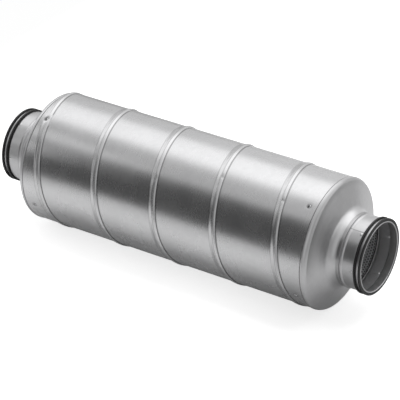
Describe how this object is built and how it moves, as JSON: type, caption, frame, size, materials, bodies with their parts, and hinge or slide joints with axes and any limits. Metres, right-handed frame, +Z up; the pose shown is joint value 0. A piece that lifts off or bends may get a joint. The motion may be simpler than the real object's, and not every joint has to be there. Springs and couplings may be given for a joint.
{
  "type": "circular duct sound attenuator",
  "caption": "Round duct sound attenuator: spiral-seamed steel casing with domed end caps and rubber-sealed collars that plug into round duct.",
  "frame": {"origin": "on the duct axis, at mid length of the attenuator", "axes": "+X along the duct axis, out of the front collar; +Z up when it lies along a level duct"},
  "size_m": [0.7206, 0.229, 0.229],
  "materials": {
    "casing_steel": "galvanised, semi-bright",
    "cap_steel": "galvanised, spun, semi-bright",
    "collar_steel": "galvanised, semi-bright",
    "seal_rubber": "matt black",
    "band_steel": "bright strip",
    "tube_steel": "galvanised, perforated",
    "fleece": "matt glass fleece",
    "wool": "matt fibre batt"
  },
  "bodies": {
    "root": {"outer_casing": "casing_steel", "end_caps": "cap_steel", "collars": "collar_steel", "lip_seals": "seal_rubber", "seal_bands": "band_steel", "perforated_tube": "tube_steel", "fleece_sleeve": "fleece", "mineral_wool": "wool"}
  },
  "joints": []
}
